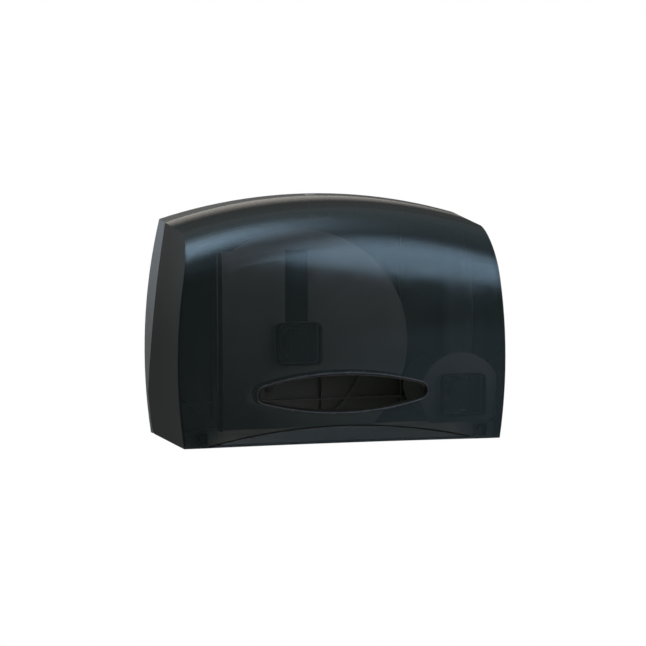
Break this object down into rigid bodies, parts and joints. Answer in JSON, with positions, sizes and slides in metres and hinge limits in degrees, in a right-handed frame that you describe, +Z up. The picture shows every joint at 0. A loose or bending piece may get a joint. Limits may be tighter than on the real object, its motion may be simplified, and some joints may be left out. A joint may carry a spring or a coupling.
{
  "type": "jumbo toilet roll dispenser",
  "caption": "Wall-mounted jumbo toilet roll dispenser with a smoked drop-down cover, a main and a stub roll spindle, roll stops, tear bar, overrun brake and key lock",
  "frame": {"origin": "On the wall face, at the centre of the four wall screw holes", "axes": "+X to the right as the user sees it, +Y into the wall, +Z up; the user stands on the -Y side"},
  "size_m": [0.36, 0.1508, 0.253],
  "materials": {
    "housing_plastic": "fine-textured dark grey ABS",
    "smoked_plastic": "glossy smoked transparent plastic, dark blue-grey",
    "stop_plastic": "satin slate grey moulding",
    "inner_plastic": "satin dark grey moulding",
    "rail_plastic": "satin mid grey moulding",
    "acetal": "natural acetal",
    "pad_rubber": "black rubber",
    "steel": "zinc-plated steel",
    "blade_steel": "bright stainless strip",
    "lock_chrome": "polished chrome",
    "lock_brass": "plain brass"
  },
  "bodies": {
    "wall_unit": {"back_plate": "housing_plastic", "main_post": "steel", "main_post_screws": "steel", "main_thrust_washer": "acetal", "main_circlip": "steel", "stub_post": "steel", "stub_post_screws": "steel", "stub_thrust_washer": "acetal", "stub_circlip": "steel", "brake_leaf": "steel", "brake_pad": "pad_rubber", "brake_screw": "steel", "lock_sleeve": "lock_chrome", "lock_nut": "steel"},
    "cover": {"cover": "smoked_plastic", "hinge_pins": "steel", "main_stop_plate": "stop_plastic", "stub_stop_plate": "stop_plastic", "front_rail": "rail_plastic", "rail_screws": "steel", "tear_bar": "blade_steel", "rail_rivets": "steel", "cover_strike": "steel", "strike_screws": "steel"},
    "main_spindle": {"main_hub": "inner_plastic", "main_rear_flange": "inner_plastic", "main_nose": "inner_plastic"},
    "stub_spindle": {"stub_hub": "inner_plastic", "stub_rear_flange": "inner_plastic", "stub_nose": "inner_plastic"},
    "lock": {"lock_barrel": "lock_brass", "lock_cam": "steel", "cam_screw": "steel"}
  },
  "joints": [
    {"name": "cover_swing", "type": "hinge", "parent": "wall_unit", "child": "cover", "pos_m": [0, -0.0175, -0.112], "axis": [1, 0, 0], "range_deg": [0, 90]},
    {"name": "main_spin", "type": "hinge", "parent": "wall_unit", "child": "main_spindle", "pos_m": [-0.0456, -0.07, -0.0144], "axis": [0, 1, 0], "continuous": true},
    {"name": "stub_spin", "type": "hinge", "parent": "wall_unit", "child": "stub_spindle", "pos_m": [0.1336, -0.07, -0.0736], "axis": [0, 1, 0], "continuous": true},
    {"name": "lock_turn", "type": "hinge", "parent": "wall_unit", "child": "lock", "pos_m": [0, -0.011, 0.12], "axis": [0, 0, -1], "range_deg": [0, 90]}
  ]
}
